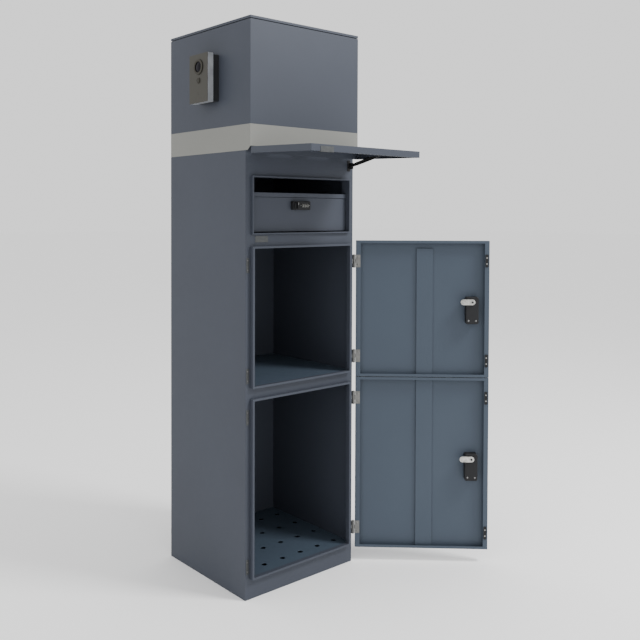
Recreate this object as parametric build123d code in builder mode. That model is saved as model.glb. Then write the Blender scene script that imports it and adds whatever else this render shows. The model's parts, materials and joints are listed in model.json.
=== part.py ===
from build123d import *

# Parcel drop box: two parcel lockers, a letter compartment behind a lift-up flap, and a
# housing with an intercom on top. Millimetres, +Z up, the front faces -Y, and the origin
# is on the floor at the middle of the footprint. Both doors stand open and the flap is up.
# Every piece of a door or of the flap is built where it is when shut, then swung open.

import math
import os
from collections import namedtuple

os.makedirs("parts", exist_ok=True)

# ---------------------------------------------------------------- driving dimensions
width = 400.0
depth = 400.0
sheet = 1.2
stile = 20.8  # face frame left and right of every opening
panel_depth = 17.4  # a folded door or flap, front skin to back lip
welding_flange = 12.0
clearance = 0.3  # between pieces that move past each other
running_clearance = 0.05  # all round a shaft in its bore

lower_door_bottom = 41.0
lower_door_height = 518.5
upper_door_height = 410.5
door_gap = 2.0
letter_sill_rise = 26.0  # top of the upper door to the letter opening
letter_opening_height = 154.0
header_height = 70.0  # letter opening to the trim band
band_height = 70.0
housing_height = 279.0
roof_gap = 2.0
roof_height = 7.0

lower_sill_overlap = 19.0  # a door covers the face frame by this much at its foot
lower_head_overlap = 15.0
upper_sill_overlap = 20.8
rim_lip_gap = 1.0  # rim of the upper opening to the lip of its door

rim_projection = 13.0
rim_bead = 6.0  # turned-over edge of a rim, across its front
letter_rim_projection = 8.5
letter_rim_bead = 4.0
letter_rim_depth = 25.0
shelf_skirt = 15.0
base_thickness = 2.0

door_edge_gap = 0.5
door_lip_side = 14.0
door_lip_end = 8.0
stiffener_width = 49.0
stiffener_offset = -8.0
stiffener_rim_gap = 0.8
stiffener_end_gap = 3.0
upper_stiffener_drop = 20.0  # its top stays this much further from the skin's fold

hinge_height = 38.0
hinge_inset = 62.0  # end of a door to the middle of its hinge
knuckle_side_gap = 1.0  # cabinet's side to the knuckle
knuckle_radius = 4.5
hinge_pin_radius = 2.0
hinge_leaf = 1.1
hinge_leaf_gap = 0.4
hinge_leaf_reach = 19.5
hinge_wing = 18.0  # fixed leaf, back along the cabinet's side
knuckle_relief = 2.0  # fixed leaf cut away beside the door's knuckle
door_open_angle = 137.36

catch_height = 38.0
catch_width = 9.0
catch_edge = 3.5  # free edge of a door to the catch
catch_inset_top = 60.0
catch_inset_bottom = 50.0
strike_thickness = 0.8
strike_margin = 1.5
strike_overhang = 2.0  # past the catch, on the side of the cabinet's edge

lock_inset = 51.5  # free edge of a door to the lock's spindle
spindle_radius = 4.0
spindle_end_radius = 3.0
lock_case_width = 38.0
lock_case_height = 81.0
lock_case_rise = 15.0  # spindle to the top of the case
lock_case_reach = 1.6  # behind the cabinet's front welding flange
lower_lock_drop = 243.5  # top of the door to the lock's spindle
upper_lock_drop = 183.5
escutcheon_width = 30.0
escutcheon_height = 76.0
escutcheon_rise = 17.0
escutcheon_depth = 10.0
cam_length = 35.0
cam_width = 17.0
cam_thickness = 3.0
cam_gap = 0.5
dial_radius = 12.0
dial_thickness = 4.0
dial_drop = 36.0
knob_radius = 11.0
knob_thickness = 4.0
knob_bar_width = 6.0
knob_bar_rise = 8.0

flap_edge_gap = 0.5
flap_axis_in = 1.8  # behind the flap's front face
flap_soffit_gap = 0.9  # knuckle to the soffit that the flap hangs from
flap_top_gap = 0.5  # knuckle to the flap's top edge
finger_gap = 11.0  # upper door to the shut flap
flap_lip_side = 8.0
flap_lip_bottom = 10.0
flap_open_angle = 88.25
soffit_rise = 10.5  # bottom of the side bands to the soffit
soffit_notch = 13.0
flap_knuckle_radius = 2.3
flap_pin_radius = 1.2
flap_hinge_length = 54.0
flap_hinge_inset = 58.3  # side of the flap to the middle of its outer hinges
flap_catch_inset = 52.3  # side of the flap to the middle of its catch
flap_catch_width = 44.0
flap_catch_wrap = 0.8  # thickness of its leg on the flap's lower edge
flap_catch_leg = 13.0
flap_leaf_depth = 12.0
rail_upstand = 28.0

stay_pivot_drop = 34.8  # pivot below the flap's axis
stay_pivot_out = 8.5  # pivot in front of the face frame
stay_lip_gap = 1.9  # side lip of the flap to the stay's bracket
stay_grip_open = 108.2  # flap's axis to the slider, flap up
stay_grip_depth = 5.0  # slider behind the flap's axis
stay_arm_thickness = 3.0
stay_arm_width = 9.0
stay_pivot_radius = 3.0
stay_ear_thickness = 2.0
stay_ear_reach = 5.5  # ear of the bracket in front of the stay's pivot
stay_ear_half = 9.0
stay_foot_depth = 12.0
stay_foot_half = 16.0
pivot_head_radius = 4.5
pivot_head = 1.6
slider_radius = 2.0
slider_head_radius = 3.5
stay_rail_start = 57.0
stay_rail_length = 126.0

letter_door_top_gap = 1.0
letter_sweep_gap = 0.6  # the door's lower edge clears the rim as it swings
letter_door_side_gap = 1.5
letter_door_depth = 12.0
letter_door_recess = 8.0  # behind the face frame's front
letter_axis_in = 4.5
letter_edge_drop = 3.0
letter_pin_radius = 1.5
letter_pin_length = 4.0
crossbar_rise = 100.0
crossbar_height = 12.0
letter_lock_width = 65.0
letter_lock_height = 25.0
letter_lock_wall = 1.1
letter_lock_offset = -3.0
letter_lock_drop = 22.0  # top edge of the letter door to the lock's middle
letter_knob_inset = 13.0
letter_knob_radius = 10.5
letter_knob_disc = 3.0
letter_knob_bar_width = 5.0
letter_knob_bar_height = 8.0
letter_lock_corner = 4.0
letter_cam_length = 27.0
letter_cam_width = 12.0
wheel_radius = 6.0
wheel_width = 6.0
wheel_pitch = 8.5
wheel_bore = 1.5
wheel_count = 3
figures = 10  # flats round a wheel, one of them square to the front
wheel_show = 2.5  # a wheel stands this far out of the lock
wheel_play = 0.4

floor_hole_radius = 7.5
floor_hole_pitch_x = 66.7
floor_hole_pitch_y = 91.0
floor_hole_margin = 25.0
anchor_radius = 6.0

intercom_width = 91.0
intercom_height = 136.0
intercom_back = -11.5  # middle of the intercom along Y
intercom_rise = 138.0  # bottom of the housing to the intercom's middle
intercom_body_depth = 21.0
intercom_plate_depth = 19.0
intercom_body_inset = 3.0
intercom_body_corner = 3.0
intercom_plate_corner = 2.0
camera_rise = 32.0
camera_ring_radius = 22.0
camera_lens_radius = 15.0
camera_projection = 3.0
button_drop = 6.0
button_radius = 8.0
button_projection = 2.0
button_depth = 6.5
button_pocket = 7.0

# ---------------------------------------------------------------- worked out from them
right = width / 2
front = -depth / 2
back = depth / 2
inside = right - sheet
frame_setback = panel_depth + 2 * hinge_leaf + hinge_leaf_gap
frame_front = front + frame_setback
frame_back = frame_front + sheet
panel_back = front + panel_depth
opening = right - stile

lower_door_top = lower_door_bottom + lower_door_height
upper_door_bottom = lower_door_top + door_gap
upper_door_top = upper_door_bottom + upper_door_height
letter_bottom = upper_door_top + letter_sill_rise
letter_top = letter_bottom + letter_opening_height
band_bottom = letter_top + header_height
soffit = band_bottom + soffit_rise
band_top = band_bottom + band_height
housing_top = band_top + housing_height
roof_top = housing_top + roof_gap + roof_height

door_edge = right - door_edge_gap
hinge_x = right + knuckle_radius + knuckle_side_gap
hinge_y = (panel_back + frame_front) / 2
lock_x = lock_inset - door_edge
case_back = frame_back + sheet + lock_case_reach
lock_case_depth = case_back - front - sheet
stiffener_depth = frame_setback - rim_projection - sheet - stiffener_rim_gap
catch_thickness = frame_setback - panel_depth - strike_thickness - clearance

flap_half = inside - flap_edge_gap
flap_y = front + flap_axis_in
flap_z = soffit - flap_knuckle_radius - flap_soffit_gap
flap_top = flap_z - flap_knuckle_radius - flap_top_gap
flap_bottom = upper_door_top + finger_gap

letter_front = frame_front + letter_door_recess
letter_hinge_y = letter_front + letter_axis_in
letter_sweep = math.hypot(letter_axis_in, letter_edge_drop)
letter_hinge_z = letter_bottom + sheet + letter_sweep + letter_sweep_gap
letter_door_bottom = letter_hinge_z - letter_edge_drop
crossbar_bottom = letter_bottom + crossbar_rise
letter_door_top = crossbar_bottom - letter_door_top_gap
letter_door_half = opening - sheet - letter_door_side_gap
letter_lock_z = letter_door_top - letter_lock_drop
letter_knob_x = letter_lock_offset - letter_lock_width / 2 + letter_knob_inset
letter_lock_depth = 2 * wheel_radius + wheel_play - wheel_show + letter_lock_wall

Door = namedtuple("Door", "name bottom top sill head lock_drop")
doors = (
    Door(
        "lower",
        lower_door_bottom,
        lower_door_top,
        lower_sill_overlap,
        lower_head_overlap,
        lower_lock_drop,
    ),
    Door(
        "upper",
        upper_door_bottom,
        upper_door_top,
        upper_sill_overlap,
        door_lip_end + rim_lip_gap + rim_bead - sheet,
        upper_lock_drop,
    ),
)
door_axis = Axis((hinge_x, hinge_y, 0), (0, 0, 1))
flap_axis = Axis((0, flap_y, flap_z), (1, 0, 0))


# ---------------------------------------------------------------- helpers
def block(x, y, z, mode=Mode.ADD):
    """Add or cut a block that spans the pairs x, y and z."""
    with Locations((x[0], y[0], z[0])):
        Box(x[1] - x[0], y[1] - y[0], z[1] - z[0], align=(Align.MIN,) * 3, mode=mode)


def rod(start, direction, radius, length, mode=Mode.ADD):
    """Add or cut a round bar that runs from start along direction."""
    with Locations(Plane(origin=start, z_dir=direction)):
        Cylinder(radius, length, align=(Align.CENTER, Align.CENTER, Align.MIN), mode=mode)


def save(piece, name, turn=None):
    """Swing a finished piece open with the leaf it rides on, label it and write it."""
    if turn:
        piece.part = piece.part.rotate(*turn)
    piece.part.label = name
    export_step(piece.part, f"parts/{name}.step")


def around(middle, reach):
    """The pair of values that lie reach either side of middle."""
    return middle - reach, middle + reach


open_door = (door_axis, door_open_angle)
open_flap = (flap_axis, -flap_open_angle)

# ---------------------------------------------------------------- cabinet shell
# Each side is one folded sheet: a wall with a welding flange at the front and the back.
for side, name in ((-1, "left_side_panel"), (1, "right_side_panel")):
    with BuildPart() as side_panel:
        with BuildSketch(Plane.XY):
            with BuildLine():
                Polyline(
                    (side * right, frame_back),
                    (side * right, back),
                    (side * (inside - welding_flange), back),
                    (side * (inside - welding_flange), back - sheet),
                    (side * inside, back - sheet),
                    (side * inside, frame_back + sheet),
                    (side * (inside - welding_flange), frame_back + sheet),
                    (side * (inside - welding_flange), frame_back),
                    close=True,
                )
            make_face()
        extrude(amount=band_bottom)
    save(side_panel, name)

rear = back - 2 * sheet
with BuildPart() as back_panel:
    block(around(0, inside), (rear, back - sheet), (0, band_bottom))
save(back_panel, "back_panel")

# The face frame has one opening for each parcel door and one for letters.
door_openings = [(door.bottom + door.sill, door.top - door.head) for door in doors]
all_openings = door_openings + [(letter_bottom, letter_top)]
with BuildPart() as front_frame:
    with BuildSketch(Plane.XZ.offset(-frame_back)):
        with Locations((0, band_bottom / 2)):
            Rectangle(width, band_bottom)
        with Locations((0, soffit / 2)):
            Rectangle(2 * inside, soffit)
        for low, high in all_openings:
            with Locations((0, (low + high) / 2)):
                Rectangle(2 * opening, high - low, mode=Mode.SUBTRACT)
    extrude(amount=sheet)
save(front_frame, "front_frame")

# A rim lines each opening, stands proud of the frame to shed rain, and turns back on itself.
rims = (
    ("lower_opening_rim", *door_openings[0], frame_back, rim_projection, rim_bead),
    ("upper_opening_rim", *door_openings[1], frame_back, rim_projection, rim_bead),
    (
        "letter_opening_rim",
        letter_bottom,
        letter_top,
        frame_front + letter_rim_depth,
        letter_rim_projection,
        letter_rim_bead,
    ),
)


def ring(middle_z, size, wall, start_y, length):
    """Add a rectangular ring, size (x, z) outside, that runs back from start_y."""
    with BuildSketch(Plane.XZ.offset(-start_y)) as outline:
        with Locations((0, middle_z)):
            Rectangle(*size)
            Rectangle(size[0] - 2 * wall, size[1] - 2 * wall, mode=Mode.SUBTRACT)
    extrude(outline.sketch, amount=-length)


for name, low, high, rim_back, projection, bead in rims:
    rim_front = frame_front - projection
    middle_z = (low + high) / 2
    inner = (2 * opening, high - low)
    outer = tuple(side + 2 * (bead - sheet) for side in inner)
    with BuildPart() as rim:
        ring(middle_z, inner, sheet, rim_front, rim_back - rim_front)
        ring(middle_z, outer, bead, rim_front, sheet)
        ring(middle_z, outer, sheet, rim_front, projection)
    save(rim, name)

# The base plate takes the floor anchors, which are reached through the floor pan's holes.
floor_depth = rear - frame_back - sheet
hole_columns = int((2 * inside - 2 * floor_hole_margin) / floor_hole_pitch_x) + 1
hole_rows = int((floor_depth - 2 * floor_hole_margin) / floor_hole_pitch_y) + 1
anchor_spacing_x = (hole_columns - 3) * floor_hole_pitch_x
anchor_spacing_y = (hole_rows - 1) * floor_hole_pitch_y
with BuildPart() as base_plate:
    block(around(0, inside), (frame_back + sheet, rear), (0, base_thickness))
    with Locations(Plane.XY.offset(base_thickness)):
        with GridLocations(anchor_spacing_x, anchor_spacing_y, 2, 2):
            Hole(anchor_radius)
save(base_plate, "base_plate")

# Every floor of the cabinet is a tray turned upside down, with its skirt welded all round.
floor_levels = (
    ("floor_pan", door_openings[0][0] - sheet),
    ("middle_shelf", door_openings[1][0] - sheet),
    ("letter_floor", letter_bottom),
    ("top_deck", band_bottom),
)
for name, level in floor_levels:
    with BuildPart() as floor:
        block(around(0, inside), (frame_back + sheet, rear), (level - shelf_skirt, level))
        block(
            around(0, inside - sheet),
            (frame_back + 2 * sheet, rear - sheet),
            (level - shelf_skirt, level - sheet),
            mode=Mode.SUBTRACT,
        )
        if name == "floor_pan":
            with Locations(Plane.XY.offset(level)):
                with GridLocations(floor_hole_pitch_x, floor_hole_pitch_y, hole_columns, hole_rows):
                    Hole(floor_hole_radius)
    save(floor, name)

# ---------------------------------------------------------------- band, housing, roof
# The band wraps the cabinet. Its sides slope up at the front to clear the flap's ends.
with BuildPart() as trim_band:
    with BuildSketch(Plane.XY.offset(band_bottom)):
        Rectangle(width, depth)
        Rectangle(2 * inside, depth - 2 * sheet, mode=Mode.SUBTRACT)
    extrude(amount=band_height)
    with BuildSketch(Plane.XY.offset(band_top)):
        Rectangle(width, depth)
        with BuildSketch(mode=Mode.PRIVATE) as flange_hole:
            Rectangle(width - 2 * welding_flange, depth - 2 * welding_flange)
        add(flange_hole.sketch, mode=Mode.SUBTRACT)
    extrude(amount=-sheet)
    with BuildSketch(Plane.YZ):
        with BuildLine():
            Polyline(
                (front - sheet, band_bottom - sheet),
                (front + soffit_notch, band_bottom - sheet),
                (front + soffit_notch, band_bottom),
                (front, soffit),
                (front - sheet, soffit),
                close=True,
            )
        make_face()
    extrude(amount=right, both=True, mode=Mode.SUBTRACT)
    block(around(0, inside), (front, front + sheet), (band_bottom, soffit), mode=Mode.SUBTRACT)
save(trim_band, "trim_band")

# The flap hangs from the flat underside of a channel between the band and the frame.
with BuildPart() as flap_hinge_rail:
    with BuildSketch(Plane.YZ):
        with BuildLine():
            Polyline(
                (front + sheet, soffit),
                (frame_back, soffit),
                (frame_back, soffit + rail_upstand),
                (frame_front, soffit + rail_upstand),
                (frame_front, soffit + sheet),
                (front + 2 * sheet, soffit + sheet),
                (front + 2 * sheet, soffit + rail_upstand),
                (front + sheet, soffit + rail_upstand),
                close=True,
            )
        make_face()
    extrude(amount=inside, both=True)
save(flap_hinge_rail, "flap_hinge_rail")

intercom_z = band_top + intercom_rise
cable_hole_radius = 8.0
with BuildPart() as top_housing:
    block(around(0, right), (front, back), (band_top, housing_top))
    block(
        around(0, inside),
        (front + sheet, back - sheet),
        (band_top + sheet, housing_top - sheet),
        mode=Mode.SUBTRACT,
    )
    block(
        around(0, right - welding_flange),
        (front + welding_flange, back - welding_flange),
        (band_top, housing_top),
        mode=Mode.SUBTRACT,
    )
    rod((-right, intercom_back, intercom_z), (1, 0, 0), cable_hole_radius, sheet, Mode.SUBTRACT)
save(top_housing, "top_housing")

# The roof is a shallow cap on a neck, which leaves a shadow gap above the housing.
roof_neck_inset = 8.0
neck = right - roof_neck_inset
with BuildPart() as roof_panel:
    block(around(0, right), (front, back), (roof_top - roof_height, roof_top))
    block(
        around(0, inside),
        (front + sheet, back - sheet),
        (roof_top - roof_height, roof_top - sheet),
        mode=Mode.SUBTRACT,
    )
    with BuildSketch(Plane.XY.offset(housing_top)):
        Rectangle(2 * neck, depth - 2 * roof_neck_inset)
        Rectangle(2 * (neck - sheet), depth - 2 * (roof_neck_inset + sheet), mode=Mode.SUBTRACT)
    extrude(amount=roof_top - sheet - housing_top)
save(roof_panel, "roof_panel")

# ---------------------------------------------------------------- intercom
plate_back = -right - intercom_body_depth
plate_front = plate_back - intercom_plate_depth
body_half = intercom_width / 2 - intercom_body_inset
body_half_height = intercom_height / 2 - intercom_body_inset
with BuildPart() as intercom_body:
    block(
        (plate_back, -right),
        around(intercom_back, body_half),
        around(intercom_z, body_half_height),
    )
    fillet(intercom_body.edges().filter_by(Axis.X), intercom_body_corner)
save(intercom_body, "intercom_body")

camera_z = intercom_z + camera_rise
button_z = intercom_z - button_drop
camera_socket = 6.0
with BuildPart() as intercom_faceplate:
    block(
        (plate_front, plate_back),
        around(intercom_back, intercom_width / 2),
        around(intercom_z, intercom_height / 2),
    )
    fillet(intercom_faceplate.edges().filter_by(Axis.X), intercom_plate_corner)
    outward = (plate_front, intercom_back, camera_z)
    rod(outward, (1, 0, 0), camera_lens_radius, camera_socket, Mode.SUBTRACT)
    pressed = (plate_front, intercom_back, button_z)
    button_bore = button_radius + running_clearance
    rod(pressed, (1, 0, 0), button_bore, button_pocket, Mode.SUBTRACT)
save(intercom_faceplate, "intercom_faceplate")

ring_front = (plate_front - camera_projection, intercom_back, camera_z)
with BuildPart() as camera_bezel:
    rod(ring_front, (1, 0, 0), camera_ring_radius, camera_projection)
    rod(ring_front, (1, 0, 0), camera_lens_radius, camera_projection, Mode.SUBTRACT)
    chamfer(camera_bezel.edges().filter_by(GeomType.CIRCLE).group_by(Axis.X)[0], 1.0)
save(camera_bezel, "camera_bezel")

# The lens is a low dome set in the ring.
lens_back = plate_front + camera_socket
lens_rise = 2.0
dome_radius = (camera_lens_radius**2 + lens_rise**2) / (2 * lens_rise)
with BuildPart() as camera_lens:
    with BuildSketch(Plane.XZ.offset(-intercom_back)):
        with BuildLine():
            Polyline(
                (plate_front - lens_rise, camera_z),
                (lens_back, camera_z),
                (lens_back, camera_z + camera_lens_radius),
                (plate_front, camera_z + camera_lens_radius),
            )
            RadiusArc(
                (plate_front - lens_rise, camera_z),
                (plate_front, camera_z + camera_lens_radius),
                dome_radius,
            )
        make_face()
    revolve(axis=Axis((plate_front, intercom_back, camera_z), (1, 0, 0)))
save(camera_lens, "camera_lens")

with BuildPart() as call_button:
    rod((plate_front - button_projection, intercom_back, button_z), (1, 0, 0), button_radius,
        button_depth)
    fillet(call_button.edges().filter_by(GeomType.CIRCLE).group_by(Axis.X)[0], 1.0)
save(call_button, "call_button")

# ---------------------------------------------------------------- strikes on the frame
strike_front = frame_front - strike_thickness
catch_left = catch_edge - door_edge
catch_levels = [
    level
    for door in doors
    for level in (door.top - catch_inset_top, door.bottom + catch_inset_bottom)
]
flap_catch_x = around(flap_catch_inset - flap_half, flap_catch_width / 2)
flap_catch_z = (flap_bottom + 1.5, flap_bottom + flap_lip_bottom - 1.5)
flap_strike_z = (upper_door_top + 1.5, flap_bottom + flap_lip_bottom - 2.0)
with BuildPart() as strike_plates:
    for level in catch_levels:
        block(
            (catch_left - strike_overhang, catch_left + catch_width - strike_overhang / 2),
            (strike_front, frame_front),
            around(level, catch_height / 2 + strike_margin),
        )
    block(flap_catch_x, (strike_front, frame_front), flap_strike_z)
save(strike_plates, "strike_plates")

# ---------------------------------------------------------------- door hinges
# Outer thirds of each knuckle belong to the cabinet, the middle third to the door.
hinge_levels = [
    level for door in doors for level in (door.top - hinge_inset, door.bottom + hinge_inset)
]
third = hinge_height / 3
axial_gap = 0.3
leaf_start = hinge_x - hinge_leaf_reach
leaf_end = hinge_x - knuckle_radius - 0.5
cabinet_thirds = ((-1.5 * third, -0.5 * third), (0.5 * third, 1.5 * third))
door_thirds = ((-0.5 * third + axial_gap, 0.5 * third - axial_gap),)


def knuckles_at(level, web_y, web_start, segments):
    """Add knuckles around the door's hinge axis, each on a web from web_start."""
    for low, high in segments:
        block((web_start, hinge_x), web_y, (level + low, level + high))
        rod((hinge_x, hinge_y, level + low), (0, 0, 1), knuckle_radius, high - low)
    bore = hinge_pin_radius + running_clearance
    bottom = (hinge_x, hinge_y, level - hinge_height / 2)
    rod(bottom, (0, 0, 1), bore, hinge_height, Mode.SUBTRACT)


# The fixed leaves lie on the cabinet's side, where an open door hides them.
wing_start = hinge_y + (hinge_leaf_gap / 2)
with BuildPart() as door_hinge_fixed_leaves:
    for level in hinge_levels:
        wing_x = (right, right + hinge_leaf)
        full_height = around(level, hinge_height / 2)
        block(wing_x, (wing_start + knuckle_relief, wing_start + hinge_wing), full_height)
        for low, high in cabinet_thirds:
            third_z = (level + low, level + high)
            block(wing_x, (wing_start, wing_start + knuckle_relief), third_z)
        knuckles_at(level, (wing_start, wing_start + hinge_leaf), right, cabinet_thirds)
save(door_hinge_fixed_leaves, "door_hinge_fixed_leaves")

pin_head = 1.0
with BuildPart() as door_hinge_pins:
    for level in hinge_levels:
        foot = level - hinge_height / 2
        rod((hinge_x, hinge_y, foot), (0, 0, 1), hinge_pin_radius, hinge_height)
        rod((hinge_x, hinge_y, foot - pin_head), (0, 0, 1), knuckle_radius - 1, pin_head)
        head = (hinge_x, hinge_y, foot + hinge_height)
        rod(head, (0, 0, 1), knuckle_radius - 1, pin_head)
save(door_hinge_pins, "door_hinge_pins")

# ---------------------------------------------------------------- parcel doors
lip_front = panel_back - sheet
spindle_bore = spindle_radius + running_clearance
for door in doors:
    lock_z = door.top - door.lock_drop
    ends = (door.bottom, door.top)

    with BuildPart() as door_panel:
        block(around(0, door_edge), (front, panel_back), ends)
        block(
            around(0, door_edge - sheet),
            (front + sheet, lip_front),
            (door.bottom + sheet, door.top - sheet),
            mode=Mode.SUBTRACT,
        )
        block(
            around(0, door_edge - door_lip_side),
            (lip_front, panel_back),
            (door.bottom + door_lip_end, door.top - door_lip_end),
            mode=Mode.SUBTRACT,
        )
        rod((lock_x, front, lock_z), (0, 1, 0), spindle_radius + 2, sheet, Mode.SUBTRACT)
    save(door_panel, f"{door.name}_door_panel", open_door)

    stiffener_front = front + sheet
    stiffener_back = stiffener_front + stiffener_depth
    stiffener_drop = upper_stiffener_drop if door.name == "upper" else 0
    stiffener_ends = (
        door.bottom + sheet + stiffener_end_gap,
        door.top - sheet - stiffener_end_gap - stiffener_drop,
    )
    with BuildPart() as stiffener:
        across = around(stiffener_offset, stiffener_width / 2)
        block(across, (stiffener_front, stiffener_back), stiffener_ends)
        block(
            around(stiffener_offset, stiffener_width / 2 - sheet),
            (stiffener_front, stiffener_back - sheet),
            stiffener_ends,
            mode=Mode.SUBTRACT,
        )
    save(stiffener, f"{door.name}_door_stiffener", open_door)

    with BuildPart() as hinge_leaves:
        for level in (door.top - hinge_inset, door.bottom + hinge_inset):
            leaf_y = (panel_back, panel_back + hinge_leaf)
            block((leaf_start, leaf_end), leaf_y, around(level, hinge_height / 2))
            knuckles_at(level, leaf_y, leaf_end, door_thirds)
    save(hinge_leaves, f"{door.name}_door_hinge_leaves", open_door)

    with BuildPart() as catches:
        for level in (door.top - catch_inset_top, door.bottom + catch_inset_bottom):
            block(
                (catch_left, catch_left + catch_width),
                (panel_back, panel_back + catch_thickness),
                around(level, catch_height / 2),
            )
        fillet(catches.edges().filter_by(Axis.Y), 1.5)
    save(catches, f"{door.name}_door_catches", open_door)

    case_top = lock_z + lock_case_rise
    with BuildPart() as lock_case:
        block(
            around(lock_x, lock_case_width / 2),
            (front + sheet, case_back),
            (case_top - lock_case_height, case_top),
        )
        fillet(lock_case.edges().filter_by(Axis.Y), 5.0)
        chamfer(lock_case.faces().sort_by(Axis.Y)[-1].edges(), 1.5)
        start = (lock_x, front + sheet, lock_z)
        rod(start, (0, 1, 0), spindle_bore, lock_case_depth, Mode.SUBTRACT)
    save(lock_case, f"{door.name}_lock_case", open_door)

    escutcheon_front = front - escutcheon_depth
    escutcheon_top = lock_z + escutcheon_rise
    dial_z = lock_z - dial_drop
    dial_stub = 6.0
    with BuildPart() as lock_escutcheon:
        block(
            around(lock_x, escutcheon_width / 2),
            (escutcheon_front, front),
            (escutcheon_top - escutcheon_height, escutcheon_top),
        )
        fillet(lock_escutcheon.edges().filter_by(Axis.Y), 6.0)
        chamfer(lock_escutcheon.faces().sort_by(Axis.Y)[0].edges(), 1.5)
        start = (lock_x, escutcheon_front, lock_z)
        rod(start, (0, 1, 0), spindle_bore, escutcheon_depth, Mode.SUBTRACT)
        start = (lock_x, escutcheon_front, dial_z)
        dial_bore = spindle_end_radius + running_clearance
        rod(start, (0, 1, 0), dial_bore, dial_stub + clearance, Mode.SUBTRACT)
    save(lock_escutcheon, f"{door.name}_lock_escutcheon", open_door)

    dial_back = escutcheon_front - clearance
    grip_count = 20
    grip_radius = 0.9
    with BuildPart() as lock_dial:
        rod((lock_x, dial_back, dial_z), (0, -1, 0), dial_radius, dial_thickness)
        with Locations(Plane((lock_x, dial_back, dial_z), z_dir=(0, -1, 0))):
            with PolarLocations(dial_radius, grip_count):
                Cylinder(
                    grip_radius,
                    dial_thickness,
                    align=(Align.CENTER, Align.CENTER, Align.MIN),
                    mode=Mode.SUBTRACT,
                )
        rod((lock_x, dial_back, dial_z), (0, 1, 0), spindle_end_radius, dial_stub)
    save(lock_dial, f"{door.name}_lock_dial", open_door)

    cam_front = case_back + cam_gap
    cam_nut = 2.0
    with BuildPart() as lock_knob:
        rod((lock_x, dial_back, lock_z), (0, -1, 0), knob_radius, knob_thickness)
        fillet(lock_knob.edges().filter_by(GeomType.CIRCLE), 1.0)
        bar_front = dial_back - knob_thickness - knob_bar_rise
        block(
            around(lock_x, knob_bar_width / 2),
            (bar_front, dial_back - 1.0),
            around(lock_z, knob_radius - 1.5),
        )
        rod((lock_x, dial_back, lock_z), (0, 1, 0), spindle_radius, cam_front - dial_back)
        tail = (lock_x, cam_front, lock_z)
        rod(tail, (0, 1, 0), spindle_end_radius, cam_thickness + cam_nut + 1)
    save(lock_knob, f"{door.name}_lock_knob", open_door)

    with BuildPart() as lock_cam:
        with BuildSketch(Plane.XZ.offset(-cam_front)):
            with Locations((lock_x + (cam_length - cam_width / 2) / 2, lock_z)):
                SlotCenterToCenter(cam_length - cam_width / 2, cam_width)
        extrude(amount=-cam_thickness)
        with BuildSketch(Plane.XZ.offset(-cam_front - cam_thickness)):
            with Locations((lock_x, lock_z)):
                RegularPolygon(5.5, 6)
        extrude(amount=-cam_nut)
        start = (lock_x, cam_front, lock_z)
        length = cam_thickness + cam_nut
        rod(start, (0, 1, 0), spindle_end_radius, length, Mode.SUBTRACT)
    save(lock_cam, f"{door.name}_lock_cam", open_door)

# ---------------------------------------------------------------- letter flap
with BuildPart() as flap_panel:
    block(around(0, flap_half), (front, panel_back), (flap_bottom, flap_top))
    block(
        around(0, flap_half - sheet),
        (front + sheet, lip_front),
        (flap_bottom + sheet, flap_top - sheet),
        mode=Mode.SUBTRACT,
    )
    block(
        around(0, flap_half - flap_lip_side),
        (lip_front, panel_back),
        (flap_bottom + flap_lip_bottom, flap_top - sheet),
        mode=Mode.SUBTRACT,
    )
save(flap_panel, "flap_panel", open_flap)

# Three small butt hinges. The middle third of each knuckle belongs to the flap.
flap_third = flap_hinge_length / 3
plate_start = flap_knuckle_radius + 0.5


def flap_leaf_at(middle, plate_z, web_z, segments):
    """Add one leaf of a flap hinge: a plate behind the axis, and its knuckles."""
    across = around(middle, flap_hinge_length / 2)
    block(across, (flap_y + plate_start, flap_y + flap_leaf_depth), plate_z)
    for low, high in segments:
        x = (middle + low, middle + high)
        block(x, (flap_y, flap_y + plate_start), plate_z)
        block(x, (flap_y, flap_y + 2.0), web_z)
        rod((x[0], flap_y, flap_z), (1, 0, 0), flap_knuckle_radius, high - low)
    bore = flap_pin_radius + running_clearance
    start = (across[0], flap_y, flap_z)
    rod(start, (1, 0, 0), bore, flap_hinge_length, Mode.SUBTRACT)


flap_hinge_middles = (flap_hinge_inset - flap_half, 0, flap_half - flap_hinge_inset)
fixed_segments = ((-1.5 * flap_third, -0.5 * flap_third), (0.5 * flap_third, 1.5 * flap_third))
flap_segments = ((-0.5 * flap_third + axial_gap, 0.5 * flap_third - axial_gap),)
with BuildPart() as flap_hinge_fixed_leaves:
    for middle in flap_hinge_middles:
        flap_leaf_at(middle, (soffit - 1.1, soffit), (flap_z, soffit), fixed_segments)
save(flap_hinge_fixed_leaves, "flap_hinge_fixed_leaves")

with BuildPart() as flap_hinge_leaves:
    for middle in flap_hinge_middles:
        flap_leaf_at(middle, (flap_top, flap_top + 0.8), (flap_top, flap_z), flap_segments)
save(flap_hinge_leaves, "flap_hinge_leaves", open_flap)

with BuildPart() as flap_hinge_pins:
    for middle in flap_hinge_middles:
        start = (middle - flap_hinge_length / 2, flap_y, flap_z)
        rod(start, (1, 0, 0), flap_pin_radius, flap_hinge_length)
save(flap_hinge_pins, "flap_hinge_pins")

with BuildPart() as flap_catch:
    block(flap_catch_x, (panel_back, panel_back + catch_thickness),
          (flap_bottom - flap_catch_wrap, flap_catch_z[1]))
    block(flap_catch_x, (panel_back - flap_catch_leg, panel_back),
          (flap_bottom - flap_catch_wrap, flap_bottom))
save(flap_catch, "flap_catch", open_flap)

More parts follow.
